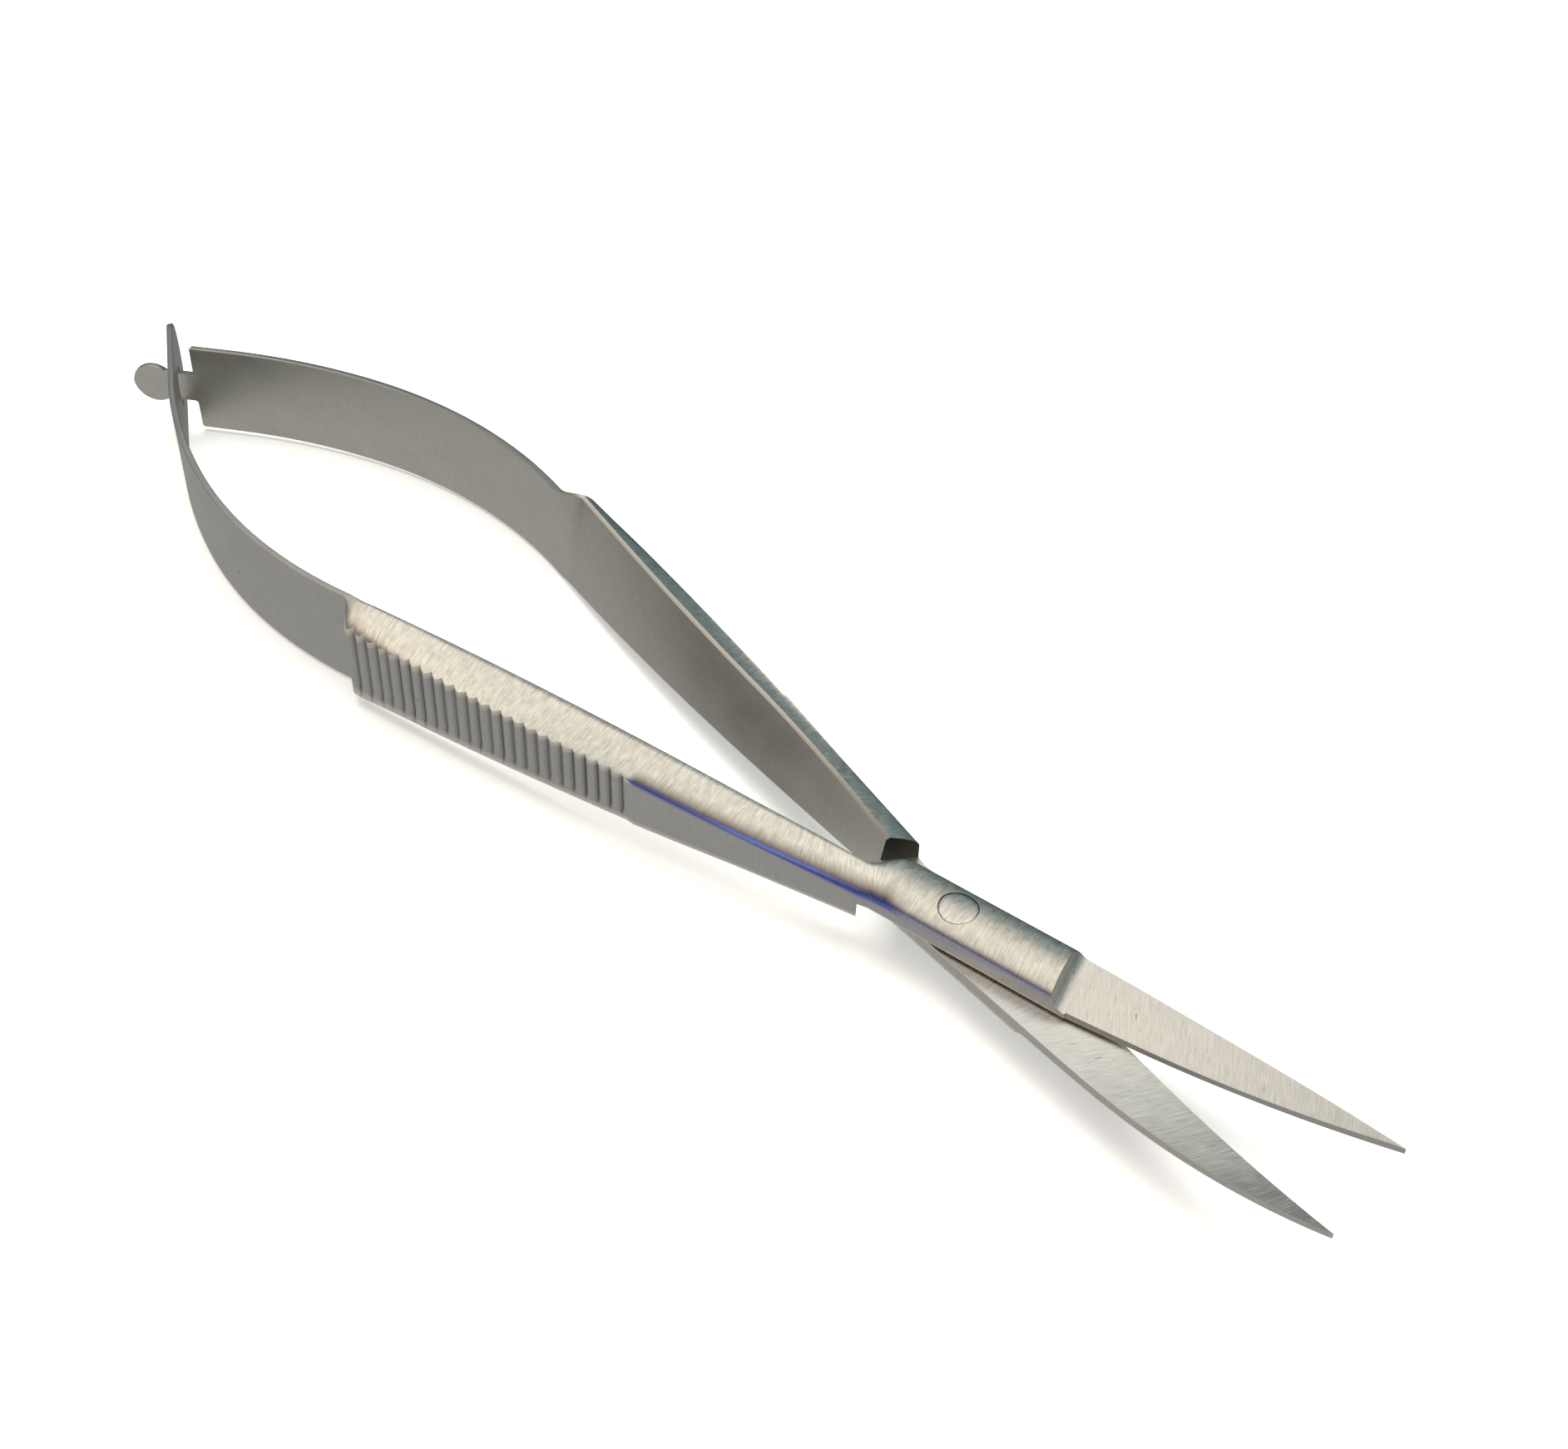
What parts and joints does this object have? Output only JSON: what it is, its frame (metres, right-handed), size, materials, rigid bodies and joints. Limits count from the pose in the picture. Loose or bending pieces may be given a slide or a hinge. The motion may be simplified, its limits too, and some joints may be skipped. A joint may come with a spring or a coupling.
{
  "type": "thread snips",
  "caption": "Spring-action thread snips: two one-piece steel halves with curved blades and serrated grips on a flush pin, held open by crossed leaf springs.",
  "frame": {"origin": "centre of the bounding box's bottom face, with the snips open as they rest", "axes": "+X along the middle line to the blade tips, +Z along the pin's axis to the side the blades curve to, +Y to the side of the upper half's blade"},
  "size_m": [0.1188, 0.0226, 0.0082],
  "materials": {
    "upper_half_steel": "brushed stainless steel, bright crown, ground blade",
    "lower_half_steel": "brushed stainless steel, greyer inner face, ground blade",
    "pin_steel": "pin head ground flush and brushed with the shank",
    "upper_leaf_steel": "rolled spring steel, satin grey",
    "lower_leaf_steel": "rolled spring steel, satin grey"
  },
  "bodies": {
    "upper_half": {"upper_half": "upper_half_steel", "pivot_pin": "pin_steel"},
    "lower_half": {"lower_half": "lower_half_steel"},
    "upper_leaf": {"upper_leaf_spring": "upper_leaf_steel"},
    "lower_leaf": {"lower_leaf_spring": "lower_leaf_steel"}
  },
  "joints": [
    {"name": "squeeze", "type": "hinge", "parent": "upper_half", "child": "lower_half", "pos_m": [0.02917, 0, 0.0041], "axis": [0, 0, 1], "range_deg": [0, 14.6], "stiffness_Nm_per_rad": 0.3},
    {"name": "upper_leaf_bend", "type": "hinge", "parent": "upper_half", "child": "upper_leaf", "pos_m": [-0.03129, -0.01016, 0.0041], "axis": [0, 0, 1], "range_deg": [0, 27]},
    {"name": "lower_leaf_bend", "type": "hinge", "parent": "lower_half", "child": "lower_leaf", "pos_m": [-0.03129, 0.01016, 0.0041], "axis": [0, 0, -1], "range_deg": [0, 27]}
  ],
  "couplings": [
    {"joint": "upper_leaf_bend", "follows": "squeeze", "ratio": 1.7345},
    {"joint": "lower_leaf_bend", "follows": "squeeze", "ratio": 1.7345}
  ]
}
